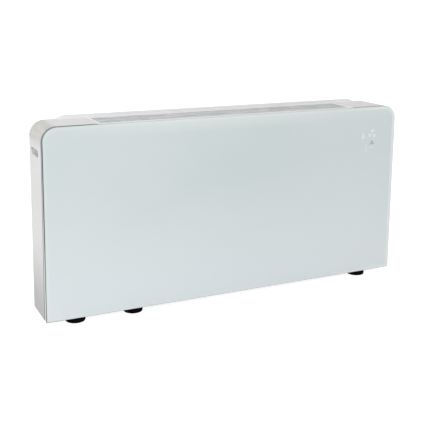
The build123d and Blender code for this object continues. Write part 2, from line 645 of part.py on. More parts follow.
for k in range(3):
    a = radians(90 + 120 * k)
    yy, zz = fan_y + 40.3 * cos(a), fan_z + 40.3 * sin(a)
    mm.append(cylx(401.5, m0, yy, zz, 4.5) + cylx(m0 - 0.1, m0 + 2.6, yy, zz, 2.0)
              + cylx(m0 + 2.6, m0 + 4.0, yy, zz, 3.1))
save("motor_mount_rubbers", mm)

# ================================================================= CONTROLS
cb = bx(414, 540, -36, 30, 300, 420)
cb -= bx(416, 538, -40, 28, 302, 418)
cb -= cylz(450, 10, 290, 305, 4.6) + cylz(505, 10, 290, 305, 5.2)
for xx_ in (422.0, 532.0):
    for zz_ in (308.0, 412.0):
        cb += cyly(xx_, -36, 28.5, zz_, 4.0) - cyly(xx_, -40, -26, zz_, 1.45)
cb += bx(440, 446, 29.5, y_plate0, 330, 390) + bx(508, 514, 29.5, y_plate0, 330, 390)
save("control_box", cb)
cl = bx(414, 540, -38, -36, 300, 420)
cl = fillet(cl.edges().filter_by(Axis.Y), 3)
for xx_ in (422.0, 532.0):
    for zz_ in (308.0, 412.0):
        cl -= cyly(xx_, -40, -35, zz_, 1.6)
for i in range(7):
    cl -= bx(455 + i * 7, 458 + i * 7, -40, -35, 392, 410)
save("control_box_lid", cl)
pcb = bx(428, 526, 12, 13.6, 318, 402)
parts_ = [pcb]
pcb += bx(436, 462, -6, 12.0, 370, 394) + bx(470, 486, -2, 12.0, 372, 392)
pcb += cyly(500, -8, 12, 384, 6.5) + cyly(515, -8, 12, 384, 6.5)
pcb += bx(436, 516, 0, 12.0, 322, 333)
pcb += bx(450, 470, 9, 12.0, 345, 362)
for yy_ in ((428.0, 320.0), (526.0, 320.0)):
    pass
pcb += bx(430, 440, 13.5, 28.0, 350, 360) + bx(514, 524, 13.5, 28.0, 350, 360)
save("control_pcb", pcb)
tb = bx(478, 534, 34, y_plate0, 112, 134)
for i in range(5):
    tb -= bx(481 + i * 10.4, 488 + i * 10.4, 30, 46, 108, 120)
    tb -= cyly(484.5 + i * 10.4, 30, 48, 127, 2.4)
save("mains_terminal_block", tb)
# strain-relief gland for the supply cable, through the back plate
cg = cyly(gland_x, 50.0, 72.0 - 6.0, gland_z, 8.0)
cg += Pos(gland_x, y_plate0, gland_z) * Rot(90, 0, 0) * extrude(RegularPolygon(11, 6, major_radius=False), 4.5)
cg += cyly(gland_x, y_plate0 + back_t, yb - 0.1, gland_z, 11.5)
cg -= cyly(gland_x, 40, 80, gland_z, gland_bore_r)
save("cable_gland", cg)
# motor lead from the control box to the motor
lead_r = 3.0
lp = [Vector(450, 10, 300.2), Vector(450, 10, 262), Vector(472, 6, 225), Vector(472, 6, 200),
      Vector(454, 6, 187.2)]
lead_path = FilletPolyline(Vector(450, 10, 302), Vector(450, 10, 255), Vector(474, 8, 226),
                           Vector(474, 6, 160), Vector(466.2, 6, 160), radius=[16, 16, 3.6]) if False else \
    FilletPolyline(Vector(450, 10, 302.5), Vector(450, 10, 262), Vector(440, 8, 225),
                   Vector(440, 6, 187.1), radius=[24, 24])
lead = sweep(Plane(origin=(450, 10, 302.5), z_dir=(0, 0, -1)) * Circle(lead_r), path=lead_path)
save("motor_lead", lead)

# ================================================================= FASTENERS
cs = []
pts = [(sx * (hx - 8.5), zc) for sx in (-1, 1) for zc in cap_screw_z]
pts += [(sx * xc, z1 - 8.5) for sx in (-1, 1) for xc in cap_screw_x]
pts += [(sx * 388.0, zc) for sx in (-1, 1) for zc in chassis_screw_z]
pts += [(xc, 32.0) for xc in base_screw_x]
for (xs, zs) in pts:
    q = cyly(xs, y_plate0 + back_t, y_plate0 + back_t + 1.4, zs, 4.0)
    q = q + cyly(xs, 59.8, y_plate0 + back_t + 0.1, zs, 2.0)
    q -= bx(xs - 0.45, xs + 0.45, 65.1, 67, zs - 2.4, zs + 2.4)
    q -= bx(xs - 2.4, xs + 2.4, 65.1, 67, zs - 0.45, zs + 0.45)
    cs.append(q)
save("casing_screws", cs)
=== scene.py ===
import bpy
import bmesh
import math
import random
from mathutils import Vector, Matrix
from mathutils.geometry import delaunay_2d_cdt


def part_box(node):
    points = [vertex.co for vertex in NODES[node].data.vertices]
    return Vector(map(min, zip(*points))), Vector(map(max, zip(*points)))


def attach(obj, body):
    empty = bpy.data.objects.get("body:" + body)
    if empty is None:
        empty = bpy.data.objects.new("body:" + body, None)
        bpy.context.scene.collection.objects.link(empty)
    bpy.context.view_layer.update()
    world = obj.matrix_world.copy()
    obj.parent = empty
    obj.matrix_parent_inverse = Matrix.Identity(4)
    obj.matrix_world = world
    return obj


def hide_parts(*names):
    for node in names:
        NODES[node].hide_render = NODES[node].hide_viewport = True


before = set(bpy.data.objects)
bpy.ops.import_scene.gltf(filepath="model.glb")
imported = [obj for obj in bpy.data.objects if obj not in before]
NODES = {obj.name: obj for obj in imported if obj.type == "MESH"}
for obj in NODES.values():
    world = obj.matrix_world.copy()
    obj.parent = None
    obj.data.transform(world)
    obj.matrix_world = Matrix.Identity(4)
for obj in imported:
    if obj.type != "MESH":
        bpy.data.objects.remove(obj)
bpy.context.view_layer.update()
MM = 0.001
scene = bpy.context.scene

# =====================================================================
# camera: front left, slightly above
# =====================================================================
cam_data = bpy.data.cameras.new("cam")
cam = bpy.data.objects.new("cam", cam_data)
scene.collection.objects.link(cam)
yaw, pitch, roll = 0.452233, 0.181249, 0.009965
fw = Vector((math.sin(yaw) * math.cos(pitch), math.cos(yaw) * math.cos(pitch), -math.sin(pitch)))
rt = Vector((math.cos(yaw), -math.sin(yaw), 0.0))
up = rt.cross(fw)
rt2 = math.cos(roll) * rt + math.sin(roll) * up
up2 = -math.sin(roll) * rt + math.cos(roll) * up
m = Matrix.Identity(4)
for i in range(3):
    m[i][0], m[i][1], m[i][2] = rt2[i], up2[i], -fw[i]
m[0][3], m[1][3], m[2][3] = -1.05223, -2.07958, 0.88236
cam.matrix_world = m
cam_data.sensor_width = 36.0
cam_data.sensor_fit = "HORIZONTAL"
cam_data.lens = 69.6257
cam_data.shift_x = 0.0
cam_data.shift_y = -0.170588
cam_data.clip_start, cam_data.clip_end = 0.05, 400.0
scene.camera = cam

# =====================================================================
# small node-tree helper
# =====================================================================


class Tree:
    def __init__(self, name):
        self.mat = bpy.data.materials.new(name)
        self.mat.use_nodes = True
        self.nt = self.mat.node_tree
        self.nt.nodes.clear()
        self.out = self.nt.nodes.new("ShaderNodeOutputMaterial")
        self._tc = None

    def put(self, socket, value):
        if value is None:
            return
        if isinstance(value, bpy.types.NodeSocket):
            self.nt.links.new(value, socket)
        elif isinstance(value, (tuple, list)) and len(value) == 3 and socket.type == "RGBA":
            socket.default_value = (*value, 1.0)
        else:
            socket.default_value = value

    def node(self, kind, ins=None, **attrs):
        n = self.nt.nodes.new(kind)
        for k, v in attrs.items():
            setattr(n, k, v)
        for k, v in (ins or {}).items():
            self.put(n.inputs[k], v)
        return n

    @property
    def co(self):
        if self._tc is None:
            self._tc = self.node("ShaderNodeTexCoord")
        return self._tc.outputs["Object"]

    def math(self, op, a, b=None, c=None, clamp=False):
        n = self.node("ShaderNodeMath", operation=op, use_clamp=clamp)
        for i, v in enumerate((a, b, c)):
            if v is not None:
                self.put(n.inputs[i], v)
        return n.outputs[0]

    def xyz(self, vec=None):
        n = self.node("ShaderNodeSeparateXYZ", {0: vec or self.co})
        return n.outputs[0], n.outputs[1], n.outputs[2]

    def mapped(self, scale=(1, 1, 1), loc=(0, 0, 0), rot=(0, 0, 0), vec=None):
        n = self.node("ShaderNodeMapping", {"Vector": vec or self.co, "Scale": scale, "Location": loc, "Rotation": rot})
        return n.outputs[0]

    def noise(self, scale, detail=2.0, rough=0.5, vec=None, distortion=0.0):
        n = self.node("ShaderNodeTexNoise", {"Vector": vec or self.co, "Scale": scale, "Detail": detail,
                                             "Roughness": rough, "Distortion": distortion})
        return n.outputs[0]

    def voronoi(self, scale, feature="F1", out="Distance", vec=None, rand=1.0):
        n = self.node("ShaderNodeTexVoronoi", {"Vector": vec or self.co, "Scale": scale, "Randomness": rand},
                      feature=feature)
        return n.outputs[out]

    def remap(self, v, a, b, c, d, smooth=False):
        n = self.node("ShaderNodeMapRange", {0: v, 1: a, 2: b, 3: c, 4: d})
        n.clamp = True
        if smooth:
            n.interpolation_type = "SMOOTHSTEP"
        return n.outputs[0]

    def ramp(self, fac, stops, interp="LINEAR"):
        n = self.node("ShaderNodeValToRGB", {0: fac})
        e = n.color_ramp.elements
        n.color_ramp.interpolation = interp
        while len(e) < len(stops):
            e.new(0.5)
        for el, (p, c) in zip(e, stops):
            el.position = p
            el.color = (*c, 1.0) if len(c) == 3 else c
        return n.outputs[0]

    def mix(self, fac, a, b, blend="MIX"):
        n = self.node("ShaderNodeMix", data_type="RGBA", blend_type=blend)
        self.put(n.inputs[0], fac)
        self.put(n.inputs[6], a)
        self.put(n.inputs[7], b)
        return n.outputs[2]

    def bump(self, height, strength=0.3, distance=0.0005, normal=None):
        n = self.node("ShaderNodeBump", {"Height": height, "Strength": strength, "Distance": distance})
        if normal is not None:
            self.put(n.inputs["Normal"], normal)
        return n.outputs[0]

    def shader(self, color, rough, metallic=0.0, normal=None, **more):
        n = self.node("ShaderNodeBsdfPrincipled")
        self.put(n.inputs["Base Color"], color)
        self.put(n.inputs["Roughness"], rough)
        self.put(n.inputs["Metallic"], metallic)
        if normal is not None:
            self.put(n.inputs["Normal"], normal)
        for k, v in more.items():
            self.put(n.inputs[k.replace("_", " ")], v)
        self.nt.links.new(n.outputs[0], self.out.inputs[0])
        return n


def grey(v):
    return (v, v, v)


# =====================================================================
# materials
# =====================================================================


def outline_distance(t, x, z, hx, z0, z1, r):
    """Distance inwards from the edge of a rectangle whose upper corners are rounded."""
    ax = t.math("ABSOLUTE", x)
    qx = t.math("ADD", ax, -(hx - r))
    qz = t.math("ADD", z, -(z1 - r))
    mx, mz = t.math("MAXIMUM", qx, 0.0), t.math("MAXIMUM", qz, 0.0)
    ln = t.math("SQRT", t.math("ADD", t.math("MULTIPLY", mx, mx), t.math("MULTIPLY", mz, mz)))
    inner = t.math("MINIMUM", t.math("MAXIMUM", qx, qz), 0.0)
    d = t.math("SUBTRACT", t.math("SUBTRACT", r, ln), inner)
    return t.math("MINIMUM", d, t.math("ADD", z, -z0))


def m_glass_front():
    """Back-painted toughened glass: cool white paint under clear float glass."""
    t = Tree("glass_backpainted")
    x, y, z = t.xyz()
    d = outline_distance(t, x, z, 0.5515, 0.0175, 0.5365, 0.040)
    cloud = t.noise(2.3, 3.0, 0.55, vec=t.mapped((1.0, 1.0, 1.6)))
    fine = t.noise(900.0, 1.0, 0.5)
    paint = t.ramp(cloud, [(0.30, (0.618, 0.692, 0.702)), (0.72, (0.655, 0.716, 0.720))])
    # lighter, greener band where the paint stops short of the polished edge
    band = t.math("MULTIPLY", t.remap(d, 0.0015, 0.0035, 0.0, 1.0, True), t.remap(d, 0.0085, 0.0110, 1.0, 0.0, True))
    # painted light: the paint turns lighter and bluer towards the bottom, and lighter towards the right
    low = t.remap(z, 0.02, 0.42, 1.0, 0.0, True)
    paint = t.mix(t.math("MULTIPLY", low, 0.55), paint, (0.825, 0.87, 0.91))
    paint = t.mix(t.math("MULTIPLY", t.remap(x, 0.05, 0.50, 0.0, 0.30, True), 1.0), paint, (0.76, 0.82, 0.83))
    # painted light: a lighter band of paint along the top, strongest at the left and fading towards the right
    painted_top_light = t.math("MULTIPLY", t.remap(z, 0.492, 0.534, 0.0, 0.42, True), t.remap(x, -0.54, -0.15, 0.20, 1.0, True))
    painted_top_light = t.math("MULTIPLY", painted_top_light, t.remap(x, 0.20, 0.42, 1.0, 0.45, True))
    paint = t.mix(painted_top_light, paint, (0.83, 0.88, 0.87))
    right = t.remap(x, 0.30, 0.53, 0.0, 1.0, True)
    clear_top = t.math("MULTIPLY", t.remap(z, 0.505, 0.530, 0.0, 0.85, True), t.remap(x, -0.425, -0.390, 0.0, 1.0, True))
    col = t.mix(t.math("MULTIPLY", band, t.math("ADD", 0.16, t.math("MULTIPLY", right, 0.62))), paint, (0.83, 0.88, 0.87))
    edge = t.remap(d, 0.0002, 0.0016, 1.0, 0.0, True)
    edge = t.math("MULTIPLY", edge, t.math("SUBTRACT", 1.0, clear_top))
    col = t.mix(t.math("MULTIPLY", edge, t.math("SUBTRACT", 0.80, t.math("MULTIPLY", right, 0.45))), col, (0.24, 0.31, 0.30))
    # painted shade: a near-black strip along the left edge of the glass, weaker towards the bottom and the top corner,
    # standing in for the shadowed gap beside the side cap
    left = t.math("MULTIPLY", t.remap(x, -0.515, -0.480, 1.0, 0.0, True), t.remap(z, 0.10, 0.30, 0.35, 1.0, True))
    left = t.math("MULTIPLY", left, t.remap(z, 0.478, 0.522, 1.0, 0.15, True))
    left_gap_shade = t.math("MULTIPLY", t.remap(d, 0.0012, 0.0028, 1.0, 0.0, True), left)
    col = t.mix(left_gap_shade, col, (0.030, 0.036, 0.036))
    rough = t.remap(fine, 0.3, 0.7, 0.035, 0.055)
    wave = t.noise(5.0, 1.0, 0.4)
    nrm = t.bump(wave, 0.02, 0.002)
    t.shader(col, rough, 0.0, nrm, IOR=1.52, Coat_Weight=0.6, Coat_Roughness=0.02, Coat_IOR=1.5)
    return t.mat


def m_glass_edge():
    """Polished float-glass edge: green-grey, darker towards the paint side; painted shade darkens the left-hand edges
    and a painted highlight lightens the upward-facing edges.
    """
    t = Tree("glass_edge")
    x, y, z = t.xyz()
    through = t.remap(y, -0.066, -0.062, 0.0, 1.0)
    n = t.noise(260.0, 2.0, 0.5, vec=t.mapped((1, 4, 1)))
    side = t.ramp(through, [(0.0, (0.22, 0.31, 0.28)), (0.45, (0.10, 0.16, 0.145)), (1.0, (0.045, 0.07, 0.065))])
    geo = t.node("ShaderNodeNewGeometry")
    nx, ny, nz = t.xyz(geo.outputs["True Normal"])
    # painted shade: the edges on the left side are darkened almost to black
    left = t.remap(x, -0.46, -0.30, 1.0, 0.0, True)
    side = t.mix(t.math("MULTIPLY", left, 0.9), side, (0.012, 0.016, 0.016))
    # painted highlight: edges facing upwards are made pale, less so on the left
    top_edge_highlight = t.math("MULTIPLY", t.remap(nz, 0.2, 0.95, 0.0, 1.0, True), t.math("SUBTRACT", 1.0, t.math("MULTIPLY", left, 0.85)))
    col = t.mix(top_edge_highlight, side, (0.78, 0.84, 0.82))
    col = t.mix(t.math("MULTIPLY", t.remap(n, 0.35, 0.7, 0.0, 0.25), t.math("SUBTRACT", 1.0, left)), col, (0.36, 0.46, 0.42))
    t.shader(col, t.remap(n, 0.3, 0.7, 0.12, 0.26), 0.0, None, IOR=1.45)
    return t.mat


def m_icon(name, color):
    t = Tree(name)
    n = t.noise(700.0, 2.0, 0.6)
    dots = t.voronoi(2600.0, rand=0.0)
    col = t.mix(t.remap(n, 0.35, 0.7, 0.0, 0.12), color, (0.60, 0.66, 0.67))
    col = t.mix(t.remap(dots, 0.25, 0.5, 0.0, 0.10), col, (0.62, 0.68, 0.69))
    t.shader(col, t.remap(n, 0.3, 0.7, 0.03, 0.06), 0.0, None, IOR=1.52, Coat_Weight=0.6, Coat_Roughness=0.02)
    return t.mat


def m_plastic(name, color, rough=0.42, grain=2600.0, depth=0.00004, tint=0.03, coat=0.0):
    """Moulded plastic with a fine spark-eroded grain and slight flow mottling."""
    t = Tree(name)
    flow = t.noise(9.0, 3.0, 0.55)
    g = t.noise(grain, 2.0, 0.6)
    pores = t.voronoi(grain * 0.55)
    dark = tuple(c * (1.0 - tint) for c in color)
    lite = tuple(min(1.0, c * (1.0 + tint * 0.6)) for c in color)
    col = t.ramp(flow, [(0.3, dark), (0.7, lite)])
    col = t.mix(t.remap(pores, 0.0, 0.5, 0.05, 0.0), col, tuple(c * 0.75 for c in color))
    h = t.math("ADD", t.math("MULTIPLY", g, 0.7), t.math("MULTIPLY", pores, 0.5))
    nrm = t.bump(h, 0.35, depth)
    t.shader(col, t.remap(flow, 0.3, 0.7, rough - 0.04, rough + 0.05), 0.0, nrm, Coat_Weight=coat, Coat_Roughness=0.25)
    return t.mat


def m_cap(name, color):
    """Moulded cap: the fine grain of m_plastic, with painted shade greying it round the shoulder and towards the foot.
    """
    t = Tree(name)
    x, y, z = t.xyz()
    ax = t.math("ABSOLUTE", x)
    flow = t.noise(9.0, 3.0, 0.55)
    drag = t.noise(60.0, 3.0, 0.6, vec=t.mapped((1.0, 0.08, 1.0)))
    g = t.noise(2600.0, 2.0, 0.6)
    pores = t.voronoi(1400.0)
    col = t.ramp(flow, [(0.3, tuple(c * 0.975 for c in color)), (0.7, tuple(min(1.0, c * 1.02) for c in color))])
    # painted shade: greyer and warmer round the top shoulder of the cap, streaked by the drag noise
    shoulder_shade = t.math("MULTIPLY", t.remap(ax, 0.500, 0.530, 0.0, 1.0, True), t.remap(z, 0.470, 0.512, 0.0, 1.0, True))
    col = t.mix(t.math("MULTIPLY", shoulder_shade, t.remap(drag, 0.35, 0.65, 0.55, 1.0)), col, tuple(c * f for c, f in zip(color, (0.70, 0.675, 0.65))))
    # painted shade: the cap darkens towards the floor
    foot = t.remap(z, 0.02, 0.24, 1.0, 0.0, True)
    col = t.mix(foot, col, tuple(c * 0.64 for c in color))
    col = t.mix(t.remap(pores, 0.0, 0.5, 0.05, 0.0), col, tuple(c * 0.75 for c in color))
    h = t.math("ADD", t.math("MULTIPLY", g, 0.7), t.math("MULTIPLY", pores, 0.5))
    t.shader(col, t.remap(flow, 0.3, 0.7, 0.36, 0.46), 0.0, t.bump(h, 0.35, 0.00004))
    return t.mat


def m_cup(name, color):
    """Grip cup: painted shade under its top and front edges, broken up by noise that also varies the roughness."""
    t = Tree(name)
    x, y, z = t.xyz()
    ax = t.math("ABSOLUTE", x)
    flow = t.noise(14.0, 3.0, 0.55)
    soil_and_shade = t.noise(160.0, 4.0, 0.65)
    g = t.noise(2600.0, 2.0, 0.6)
    # painted shade: the inner walls darken under the top and front edges of the opening, most deeply inside the cup
    inside = t.remap(ax, 0.5335, 0.5500, 1.0, 0.45, True)
    top = t.remap(z, 0.4605, 0.4670, 0.0, 1.0, True)
    front = t.remap(y, -0.0190, -0.0080, 1.0, 0.0, True)
    dark = t.math("MULTIPLY", t.math("MAXIMUM", top, front), inside)
    dark = t.math("MULTIPLY", dark, t.remap(soil_and_shade, 0.3, 0.7, 0.75, 1.0))
    col = t.ramp(flow, [(0.3, tuple(c * 0.97 for c in color)), (0.7, color)])
    col = t.mix(dark, col, tuple(c * 0.16 for c in color))
    t.shader(col, t.remap(soil_and_shade, 0.3, 0.7, 0.42, 0.56), 0.0, t.bump(g, 0.3, 0.00004))
    return t.mat


def m_powder(name, color, rough=0.33, peel=420.0, depth=0.00006):
    """Powder coat with orange peel."""
    t = Tree(name)
    a = t.noise(peel, 2.0, 0.45)
    b = t.noise(peel * 5.5, 1.0, 0.5)
    dust = t.noise(14.0, 3.0, 0.5)
    col = t.ramp(dust, [(0.25, tuple(c * 0.965 for c in color)), (0.75, tuple(min(1.0, c * 1.015) for c in color))])
    h = t.math("ADD", a, t.math("MULTIPLY", b, 0.25))
    t.shader(col, t.remap(a, 0.3, 0.7, rough - 0.05, rough + 0.06), 0.0, t.bump(h, 0.3, depth))
    return t.mat


def m_galvanised(name, lo=0.40, hi=0.62, cell=95.0):
    """Hot-dip galvanised sheet: crystalline spangle, white bloom, light scratches."""
    t = Tree(name)
    warp = t.noise(40.0, 2.0, 0.5)
    vec = t.node("ShaderNodeVectorMath", {0: t.co, 1: (1, 1, 1)}, operation="MULTIPLY").outputs[0]
    cells = t.node("ShaderNodeTexVoronoi", {"Vector": vec, "Scale": cell, "Randomness": 1.0})
    cv = t.xyz(cells.outputs["Color"])[0]
    small = t.node("ShaderNodeTexVoronoi", {"Vector": vec, "Scale": cell * 2.7, "Randomness": 1.0})
    sv = t.xyz(small.outputs["Color"])[1]
    mixv = t.math("ADD", t.math("MULTIPLY", cv, 0.65), t.math("MULTIPLY", sv, 0.35))
    col = t.ramp(mixv, [(0.0, (lo, lo * 1.01, lo * 1.03)), (1.0, (hi, hi * 1.01, hi * 1.02))])
    bloom = t.noise(18.0, 4.0, 0.6)
    col = t.mix(t.remap(bloom, 0.55, 0.8, 0.0, 0.35), col, (0.62, 0.63, 0.63))
    scratch = t.noise(30.0, 6.0, 0.7, vec=t.mapped((0.6, 30.0, 30.0)))
    rough = t.math("ADD", t.remap(mixv, 0.0, 1.0, 0.30, 0.48), t.remap(scratch, 0.45, 0.7, 0.0, 0.10))
    nrm = t.bump(t.math("ADD", t.math("MULTIPLY", mixv, 0.4), t.math("MULTIPLY", warp, 0.6)), 0.10, 0.0004)
    t.shader(col, rough, 0.85, nrm)
    return t.mat


def m_zinc(name, color=(0.62, 0.62, 0.58), rough=0.28):
    t = Tree(name)
    n = t.noise(1200.0, 3.0, 0.6)
    w = t.noise(60.0, 3.0, 0.6)
    col = t.mix(t.remap(w, 0.4, 0.7, 0.0, 0.5), color, tuple(c * 0.72 for c in color))
    t.shader(col, t.remap(n, 0.3, 0.7, rough - 0.06, rough + 0.12), 1.0, t.bump(n, 0.15, 0.00005))
    return t.mat


def m_metal(name, color, rough=0.25, vec_scale=(1, 1, 1), grain=300.0, dark=0.8, metallic=1.0, depth=0.00005):
    """Drawn, ground or brushed metal; vec_scale stretches the grain along the part."""
    t = Tree(name)
    v = t.mapped(vec_scale)
    lines = t.noise(grain, 4.0, 0.65, vec=v)
    blot = t.noise(22.0, 4.0, 0.6)
    col = t.mix(t.remap(lines, 0.3, 0.7, 0.0, 1.0), tuple(c * dark for c in color), color)
    col = t.mix(t.remap(blot, 0.55, 0.8, 0.0, 0.35), col, tuple(c * 0.55 for c in color))
    t.shader(col, t.math("ADD", t.remap(lines, 0.3, 0.7, rough - 0.05, rough + 0.10), t.remap(blot, 0.5, 0.8, 0.0, 0.12)),
             metallic, t.bump(lines, 0.25, depth))
    return t.mat


def m_bars(name):
    """Satin anodised grille bars: drawn grain along each bar, uneven tone from length to length."""
    t = Tree(name)
    grain = t.noise(1400.0, 4.0, 0.65, vec=t.mapped((0.02, 1.0, 1.0)))
    tone = t.noise(1.0, 3.0, 0.6, vec=t.mapped((26.0, 110.0, 1.0)))
    blot = t.noise(5.0, 2.0, 0.5, vec=t.mapped((1.0, 0.2, 0.2)))
    col = t.mix(t.remap(tone, 0.35, 0.65, 0.0, 1.0), (0.55, 0.553, 0.58), (0.83, 0.83, 0.845))
    col = t.mix(t.remap(blot, 0.35, 0.65, 0.0, 0.30), col, (0.52, 0.535, 0.545))
    col = t.mix(t.remap(grain, 0.35, 0.7, 0.0, 0.22), col, (0.45, 0.455, 0.47))
    t.shader(col, t.remap(grain, 0.3, 0.7, 0.33, 0.48), 0.15, t.bump(grain, 0.25, 0.00005))
    return t.mat


def m_rubber(name, color=(0.012, 0.012, 0.013), rough=0.62):
    t = Tree(name)
    n = t.noise(1500.0, 3.0, 0.6)
    dust = t.noise(60.0, 4.0, 0.6)
    geo = t.node("ShaderNodeNewGeometry")
    nz = t.xyz(geo.outputs["True Normal"])[2]
    up_ = t.remap(nz, 0.3, 1.0, 0.0, 0.5)
    col = t.mix(t.math("MULTIPLY", t.remap(dust, 0.45, 0.75, 0.0, 0.10), 1.0), color, (0.10, 0.10, 0.10))
    col = t.mix(t.math("MULTIPLY", up_, t.remap(dust, 0.4, 0.7, 0.0, 0.2)), col, (0.16, 0.16, 0.16))
    t.shader(col, t.remap(n, 0.3, 0.7, rough - 0.05, rough + 0.12), 0.0, t.bump(n, 0.3, 0.00008))
    return t.mat


def m_foot(name):
    """Soft black moulded rubber, matt, with a faint mould line and dusted rim."""
    t = Tree(name)
    n = t.noise(1500.0, 3.0, 0.6)
    dust = t.noise(90.0, 4.0, 0.6)
    z = t.xyz()[2]
    line = t.math("MULTIPLY", t.remap(t.math("ABSOLUTE", t.math("ADD", z, -0.0098)), 0.0, 0.0005, 1.0, 0.0, True), 0.5)
    col = t.mix(t.remap(dust, 0.5, 0.8, 0.0, 0.05), (0.0016, 0.0016, 0.0017), (0.03, 0.03, 0.03))
    h = t.math("ADD", n, t.math("MULTIPLY", line, 2.0))
    t.shader(col, t.remap(n, 0.3, 0.7, 0.70, 0.90), 0.0, t.bump(h, 0.3, 0.00008), Specular_IOR_Level=0.10)
    return t.mat


def m_foam(name, color=(0.12, 0.125, 0.13)):
    t = Tree(name)
    c = t.voronoi(620.0)
    c2 = t.voronoi(1400.0)
    h = t.math("ADD", c, t.math("MULTIPLY", c2, 0.5))
    col = t.ramp(h, [(0.1, tuple(v * 0.5 for v in color)), (0.8, tuple(v * 1.35 for v in color))])
    t.shader(col, 0.92, 0.0, t.bump(h, 0.8, 0.0004))
    return t.mat


def m_pcb(name, color=(0.02, 0.11, 0.05), axis="xz"):
    """Solder-resist board with copper tracks and pads showing through."""
    t = Tree(name)
    x, y, z = t.xyz()
    track = t.node("ShaderNodeTexBrick", {"Vector": t.mapped((1, 1, 1), rot=(math.radians(90), 0, 0)), "Scale": 160.0,
                                          "Mortar Size": 0.035, "Mortar Smooth": 0.1, "Brick Width": 1.3, "Row Height": 0.42,
                                          "Color1": (0, 0, 0, 1), "Color2": (0, 0, 0, 1), "Mortar": (1, 1, 1, 1)})
    pads = t.remap(t.voronoi(210.0), 0.10, 0.13, 1.0, 0.0)
    col = t.mix(t.xyz(track.outputs[0])[0], color, tuple(min(1, c * 2.1 + 0.01) for c in color))
    col = t.mix(pads, col, (0.55, 0.55, 0.50))
    t.shader(col, t.mix(pads, grey(0.32), grey(0.22)), t.math("MULTIPLY", pads, 0.9), t.bump(pads, 0.2, 0.0001))
    return t.mat


def m_enamel(name, color):
    t = Tree(name)
    n = t.noise(45.0, 4.0, 0.6)
    f = t.noise(900.0, 2.0, 0.5)
    col = t.mix(t.remap(n, 0.55, 0.75, 0.0, 0.4), color, tuple(c * 0.6 for c in color))
    t.shader(col, t.remap(f, 0.3, 0.7, 0.22, 0.34), 0.0, t.bump(f, 0.15, 0.00005), Coat_Weight=0.4, Coat_Roughness=0.15)
    return t.mat


def m_lamination(name):
    """Stacked steel laminations, stripes along the shaft."""
    t = Tree(name)
    x, y, z = t.xyz()
    s = t.math("FRACT", t.math("MULTIPLY", x, 1400.0))
    k = t.remap(s, 0.0, 0.25, 0.0, 1.0)
    n = t.noise(200.0, 3.0, 0.6)
    col = t.mix(k, (0.10, 0.10, 0.11), (0.42, 0.42, 0.43))
    col = t.mix(t.remap(n, 0.5, 0.8, 0.0, 0.4), col, (0.22, 0.18, 0.14))
    t.shader(col, t.remap(n, 0.3, 0.7, 0.3, 0.5), 0.9, t.bump(k, 0.4, 0.0001))
    return t.mat


M = {}
M["glass"] = m_glass_front()
M["glass_edge"] = m_glass_edge()
M["icon_light"] = m_icon("icon_light", (0.86, 0.89, 0.90))
M["icon_soft"] = m_icon("icon_soft", (0.76, 0.81, 0.795))
M["icon_dark"] = m_icon("icon_dark", (0.45, 0.50, 0.51))
M["cap"] = m_cap("cap_white_moulded", (0.800, 0.802, 0.800))
M["cup"] = m_cup("cup_white_moulded", (0.72, 0.72, 0.72))
M["tray"] = m_powder("powder_white", (0.82, 0.83, 0.835))
M["rim"] = m_powder("powder_white_grille", (0.92, 0.925, 0.925), 0.34, 900.0, 0.000012)
M["rail"] = m_powder("powder_white_rail", (0.84, 0.842, 0.838), 0.34, 700.0, 0.00002)
M["bars"] = m_bars("grille_bars_satin")
M["seal"] = m_rubber("seal_black", (0.012, 0.012, 0.012), 0.55)
M["tape"] = m_foam("tape_black", (0.018, 0.018, 0.018))
M["foam"] = m_foam("panel_foam")
M["galv"] = m_galvanised("galvanised")
M["galv_dark"] = m_galvanised("galvanised_inner", 0.34, 0.52, 120.0)
M["rubber"] = m_rubber("mount_rubber")
M["foot"] = m_foot("foot_rubber")
M["zinc"] = m_zinc("zinc_plate")
M["steel"] = m_metal("ground_steel", (0.55, 0.55, 0.56), 0.22, (1, 30, 30), 260.0)
M["lam"] = m_lamination("stator_laminations")
M["winding"] = m_metal("winding_enamel", (0.50, 0.17, 0.06), 0.30, (1, 1, 1), 1400.0, 0.55, 0.7, 0.0002)
M["magnet"] = m_zinc("rotor_steel", (0.34, 0.34, 0.35), 0.35)
M["fin"] = m_metal("fin_aluminium", (0.80, 0.81, 0.83), 0.30, (1, 1, 22), 340.0, 0.88)
M["blade"] = m_metal("blade_aluminium", (0.74, 0.75, 0.77), 0.32, (0.03, 1, 1), 700.0, 0.85)
M["copper"] = m_metal("copper_tube", (0.72, 0.36, 0.22), 0.27, (0.15, 1, 1), 420.0, 0.80)
M["copper_v"] = m_metal("copper_riser", (0.72, 0.36, 0.22), 0.27, (1, 1, 0.12), 420.0, 0.80)
M["brass"] = m_metal("brass_machined", (0.68, 0.52, 0.24), 0.24, (1, 1, 25), 300.0, 0.84)
M["bronze"] = m_metal("sintered_bronze", (0.44, 0.28, 0.13), 0.42, (1, 1, 1), 1500.0, 0.65, 1.0, 0.0001)
M["red"] = m_enamel("lever_red", (0.42, 0.02, 0.015))
M["grey_cap"] = m_plastic("lockshield_grey", (0.45, 0.46, 0.46), 0.45)
M["box"] = m_plastic("control_box_grey", (0.52, 0.53, 0.53), 0.48)
M["lid"] = m_plastic("control_lid_grey", (0.60, 0.61, 0.61), 0.46)
M["term"] = m_plastic("terminal_block", (0.66, 0.65, 0.60), 0.38)
M["motor"] = m_plastic("motor_black", (0.022, 0.022, 0.024), 0.42)
M["gland"] = m_plastic("gland_black", (0.02, 0.02, 0.021), 0.40)
M["lead"] = m_plastic("lead_black", (0.016, 0.016, 0.017), 0.50)
M["filter"] = m_plastic("filter_frame_grey", (0.11, 0.115, 0.12), 0.46)
M["weave"] = m_plastic("filter_weave_black", (0.028, 0.028, 0.030), 0.55)
